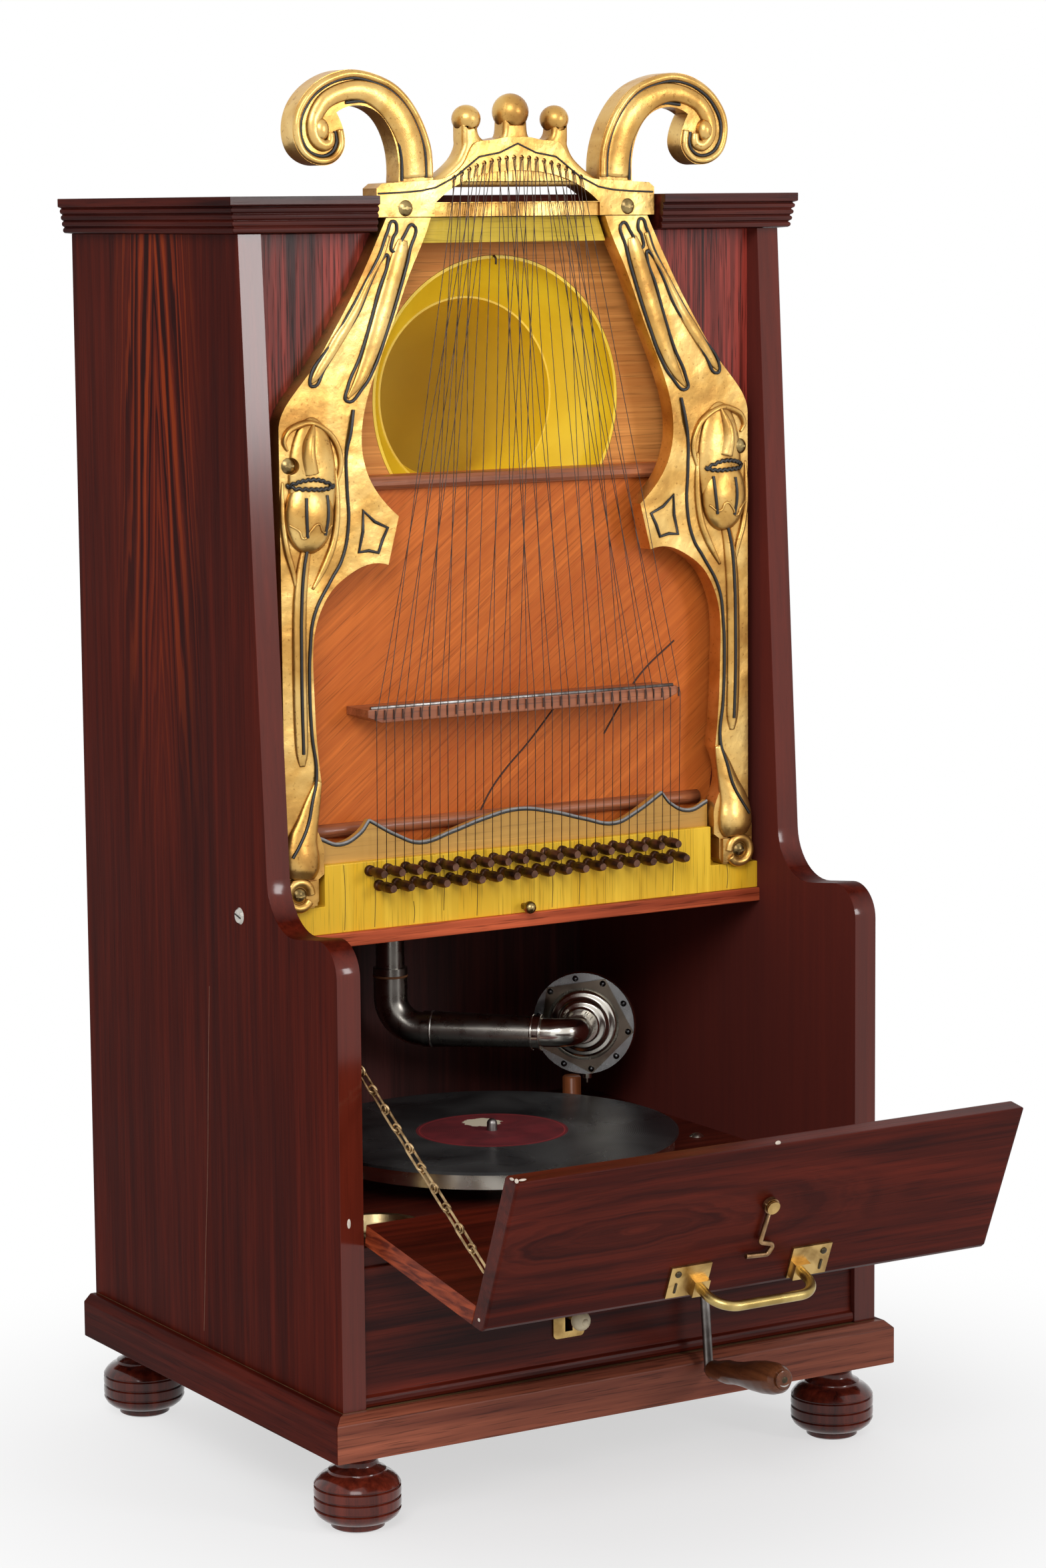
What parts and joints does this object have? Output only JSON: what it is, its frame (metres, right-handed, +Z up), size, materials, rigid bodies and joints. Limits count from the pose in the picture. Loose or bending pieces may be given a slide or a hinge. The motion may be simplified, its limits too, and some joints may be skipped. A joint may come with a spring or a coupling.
{
  "type": "cabinet gramophone",
  "caption": "Tall wooden cabinet gramophone with a gilt lyre and harp strings before its horn, folding front flap, turntable, tone arm and winding crank.",
  "frame": {"origin": "floor level under the middle of the overall box, with the flap open", "axes": "+X to the right seen from the front, +Y to the back, +Z up"},
  "size_m": [0.425, 0.5312, 0.9031],
  "materials": {
    "mahogany": "french polished, worn",
    "inner_wood": "plain varnish",
    "oak_panel": "open pored, polished",
    "gilding": "gilt over gesso, rubbed",
    "yellow_paint": "yellow paint, aged",
    "fir": "varnished, fine grain",
    "spruce": "orange varnish",
    "brown_moulding": "stained",
    "horn_paint": "yellow paint shading to brown",
    "pin_iron": "blued, rusty",
    "steel": "dull",
    "brass": "tarnished",
    "nickel": "worn nickel plate",
    "shellac": "grooved, paper label",
    "frame_iron": "black japan",
    "turned_wood": "turned, waxed"
  },
  "bodies": {
    "cabinet": {"side_panel_left": "mahogany", "side_panel_right": "mahogany", "top_board": "mahogany", "cornice_left": "mahogany", "cornice_right": "mahogany", "cornice_front_left": "mahogany", "cornice_front_right": "mahogany", "plinth_left": "mahogany", "plinth_right": "mahogany", "plinth_front": "mahogany", "bun_feet": "mahogany", "lower_front_panel": "mahogany", "shelf_board": "mahogany", "back_panel": "inner_wood", "bottom_board": "inner_wood", "motor_board": "inner_wood", "front_panel": "oak_panel", "lyre_crown": "gilding", "lyre_arm_left": "gilding", "lyre_arm_right": "gilding", "skirt_board": "gilding", "hitch_beam": "yellow_paint", "pin_block": "yellow_paint", "horn_baffle": "fir", "harp_soundboard": "spruce", "soundboard_capping": "brown_moulding", "string_bridge": "brown_moulding", "horn_mouth": "horn_paint", "horn_body": "horn_paint", "tuning_pins": "pin_iron", "harp_strings": "steel", "brass_screws": "brass", "needle_dish": "brass", "lever_fittings": "brass", "hinge_leaves_fixed": "brass", "stay_chain": "brass", "board_screws": "nickel", "motor_frame": "frame_iron", "sound_box_rest": "turned_wood"},
    "flap": {"flap_floor": "mahogany", "flap_front": "mahogany", "hinge_leaves_moving": "brass", "flap_fittings": "brass", "flap_handle": "brass"},
    "hook": {"flap_hook": "brass"},
    "turntable": {"turntable": "nickel", "record_disc": "shellac", "spindle": "steel"},
    "intermediate": {"intermediate_wheel": "brass"},
    "barrel": {"spring_barrel": "brass", "mainspring": "steel"},
    "governor": {"governor": "steel"},
    "tone_arm": {"tone_arm": "nickel"},
    "sound_box": {"gooseneck": "nickel", "sound_box": "nickel", "stylus_bar": "nickel"},
    "crank": {"crank_arm": "steel"},
    "crank_grip": {"crank_grip": "turned_wood"},
    "winding_arbor": {"winding_arbor": "steel"},
    "start_lever": {"start_lever": "brass"}
  },
  "joints": [
    {"name": "flap_hinge", "type": "hinge", "parent": "cabinet", "child": "flap", "pos_m": [0, -0.083, 0.181], "axis": [-1, 0, 0], "range_deg": [0, 99.3], "deforming": ["stay_chain"]},
    {"name": "hook_pivot", "type": "hinge", "parent": "flap", "child": "hook", "pos_m": [0.002, -0.24998, 0.21979], "axis": [0, -0.9252, -0.3796], "range_deg": [-100, 100]},
    {"name": "turntable_spin", "type": "hinge", "parent": "cabinet", "child": "turntable", "pos_m": [0, 0.071, 0.193], "axis": [0, 0, 1], "continuous": true},
    {"name": "intermediate_spin", "type": "hinge", "parent": "cabinet", "child": "intermediate", "pos_m": [0.04897, 0.04824, 0.12], "axis": [0, 0, 1], "continuous": true},
    {"name": "barrel_spin", "type": "hinge", "parent": "cabinet", "child": "barrel", "pos_m": [0.058, -0.005, 0.105], "axis": [0, 0, 1], "continuous": true},
    {"name": "governor_spin", "type": "hinge", "parent": "cabinet", "child": "governor", "pos_m": [-0.0432, 0.1034, 0.12], "axis": [0, 0, 1], "continuous": true},
    {"name": "tone_arm_swing", "type": "hinge", "parent": "cabinet", "child": "tone_arm", "pos_m": [0.006, 0.217, 0.25], "axis": [0, 0, 1], "range_deg": [-52, 12]},
    {"name": "sound_box_turn", "type": "hinge", "parent": "tone_arm", "child": "sound_box", "pos_m": [0.006, 0.217, 0.25], "axis": [0.7314, -0.682, 0], "range_deg": [0, 100]},
    {"name": "crank_turn", "type": "hinge", "parent": "cabinet", "child": "crank", "pos_m": [0.058, -0.081, 0.142], "axis": [0, 1, 0], "range_deg": [-100, 100]},
    {"name": "crank_grip_spin", "type": "hinge", "parent": "crank", "child": "crank_grip", "pos_m": [0.058, -0.102, 0.072], "axis": [0, -0.9877, 0.1564], "continuous": true},
    {"name": "winding_arbor_turn", "type": "hinge", "parent": "cabinet", "child": "winding_arbor", "pos_m": [0.058, -0.005, 0.126], "axis": [0, 0, 1], "range_deg": [-30, 30]},
    {"name": "start_lever_tilt", "type": "hinge", "parent": "cabinet", "child": "start_lever", "pos_m": [-0.036, -0.059, 0.117], "axis": [1, 0, 0], "range_deg": [-10, 10]}
  ],
  "couplings": [
    {"joint": "intermediate_spin", "follows": "turntable_spin", "ratio": -0.2},
    {"joint": "barrel_spin", "follows": "turntable_spin", "ratio": 0.04},
    {"joint": "governor_spin", "follows": "turntable_spin", "ratio": -5},
    {"joint": "winding_arbor_turn", "follows": "crank_turn", "ratio": -0.3}
  ]
}
